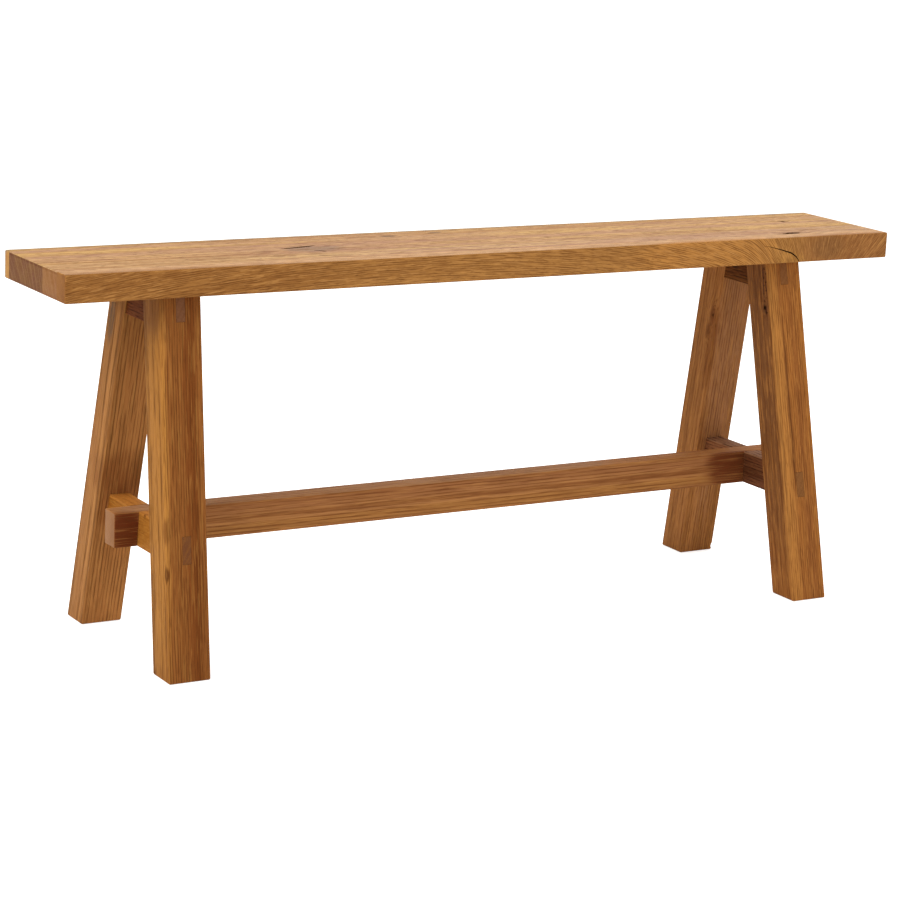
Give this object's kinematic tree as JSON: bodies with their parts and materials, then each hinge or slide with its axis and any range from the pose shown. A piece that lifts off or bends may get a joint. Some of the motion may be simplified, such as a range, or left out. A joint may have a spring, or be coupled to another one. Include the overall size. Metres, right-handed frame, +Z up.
{
  "type": "bench",
  "caption": "Solid oak bench: thick plank seat on splayed A-shaped trestles with through tenons, tied by a long half-lapped stretcher.",
  "frame": {"origin": "on the floor, under the middle of the seat", "axes": "+X along the seat to its right-hand end, +Y across the seat towards its back edge, +Z up"},
  "size_m": [1.15, 0.3002, 0.467],
  "materials": {
    "oak_seat": "satin oil, pale honey oak",
    "oak_leg": "satin oil, honey brown oak",
    "oak_rail": "satin oil, orange brown oak",
    "oak_stretcher": "satin oil, reddish brown oak",
    "steel_zinc": "bright zinc plate",
    "brass_insert": "turned, semi bright"
  },
  "bodies": {
    "root": {"seat_strip_front": "oak_seat", "seat_board_narrow": "oak_seat", "seat_board_wide": "oak_seat", "seat_strip_back": "oak_seat", "leg_front_left": "oak_leg", "leg_back_left": "oak_leg", "leg_front_right": "oak_leg", "leg_back_right": "oak_leg", "upper_rail_left": "oak_rail", "upper_rail_right": "oak_rail", "lower_rail_left": "oak_rail", "lower_rail_right": "oak_rail", "stretcher": "oak_stretcher", "lap_screw_left": "steel_zinc", "lap_screw_right": "steel_zinc", "seat_bolt_left_front": "steel_zinc", "seat_bolt_left_back": "steel_zinc", "seat_bolt_right_front": "steel_zinc", "seat_bolt_right_back": "steel_zinc", "seat_washer_left_front": "steel_zinc", "seat_washer_left_back": "steel_zinc", "seat_washer_right_front": "steel_zinc", "seat_washer_right_back": "steel_zinc", "seat_insert_left_front": "brass_insert", "seat_insert_left_back": "brass_insert", "seat_insert_right_front": "brass_insert", "seat_insert_right_back": "brass_insert"}
  },
  "joints": []
}
